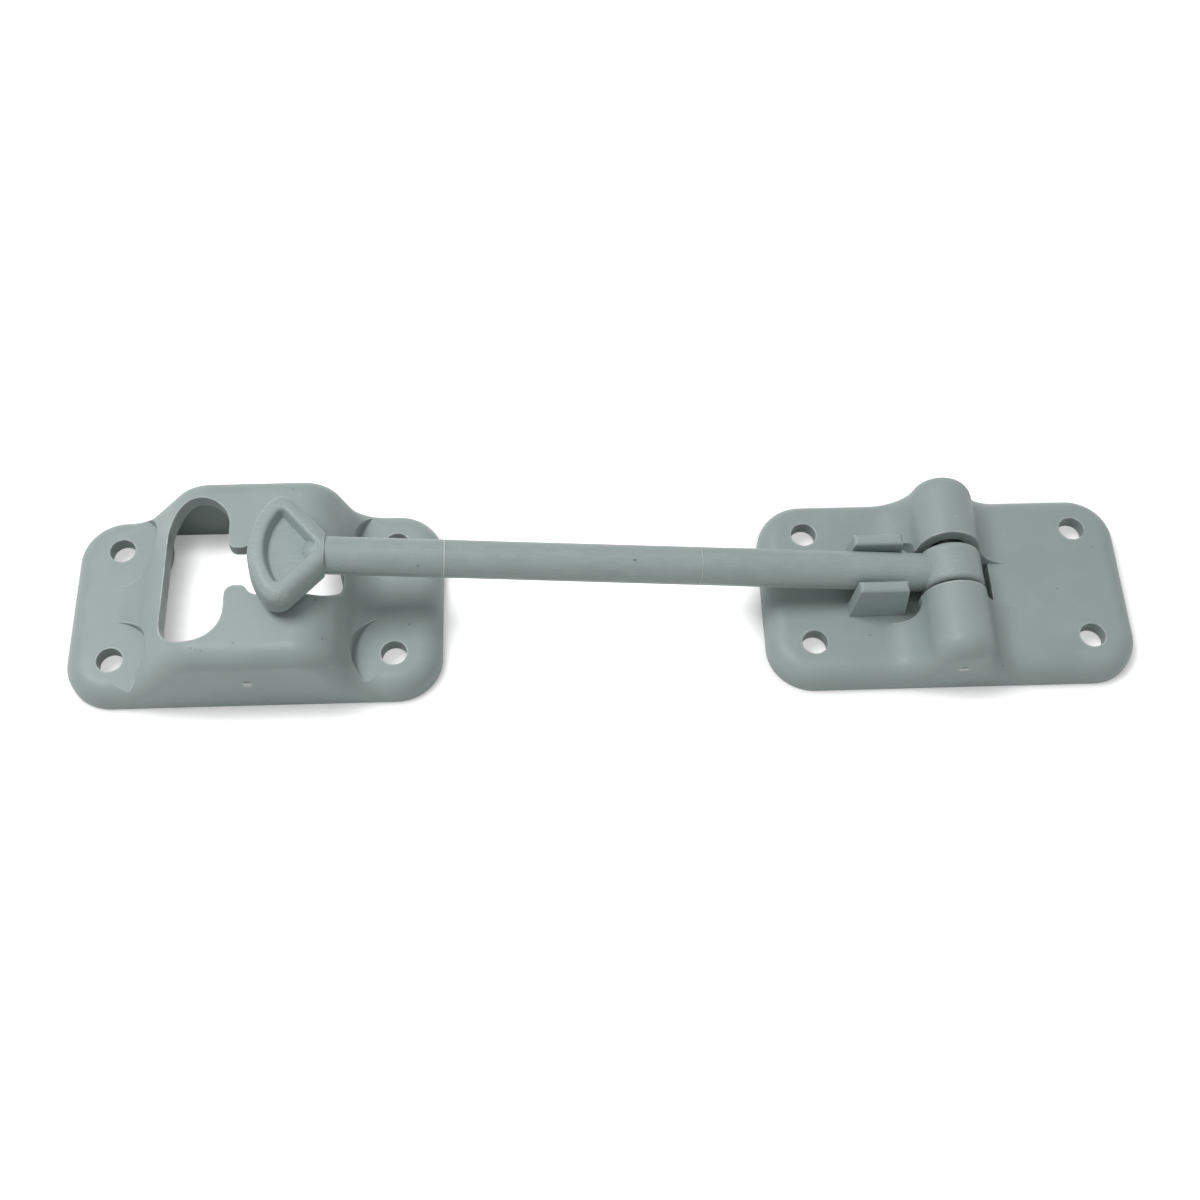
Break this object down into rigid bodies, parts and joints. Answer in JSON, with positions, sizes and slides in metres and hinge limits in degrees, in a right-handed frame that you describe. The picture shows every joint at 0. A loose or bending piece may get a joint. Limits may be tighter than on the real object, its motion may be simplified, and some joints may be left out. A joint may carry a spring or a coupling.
{
  "type": "baggage door catch",
  "caption": "Moulded plastic door catch: a T-headed arm hinged on a screw-on base swings over to drop its head through a lipped slot in a flared socket plate.",
  "frame": {"origin": "on the mounting surface, midway between the hinge base and the socket plate", "axes": "+X along the arm from the socket towards the hinge, +Y to the rear of both plates, +Z off the mounting surface"},
  "size_m": [0.2336, 0.0448, 0.031],
  "materials": {
    "base_plastic": "fine matte moulded grey",
    "socket_plastic": "fine matte moulded grey",
    "arm_plastic": "matte moulded grey with witness lines",
    "pin_steel": "drawn wire"
  },
  "bodies": {
    "plates": {"hinge_base": "base_plastic", "socket_plate": "socket_plastic", "hinge_pin": "pin_steel"},
    "arm": {"catch_arm": "arm_plastic"}
  },
  "joints": [
    {"name": "arm_swing", "type": "hinge", "parent": "plates", "child": "arm", "pos_m": [0.0762, 0, 0.011], "axis": [0, 1, 0], "range_deg": [0, 173]}
  ]
}
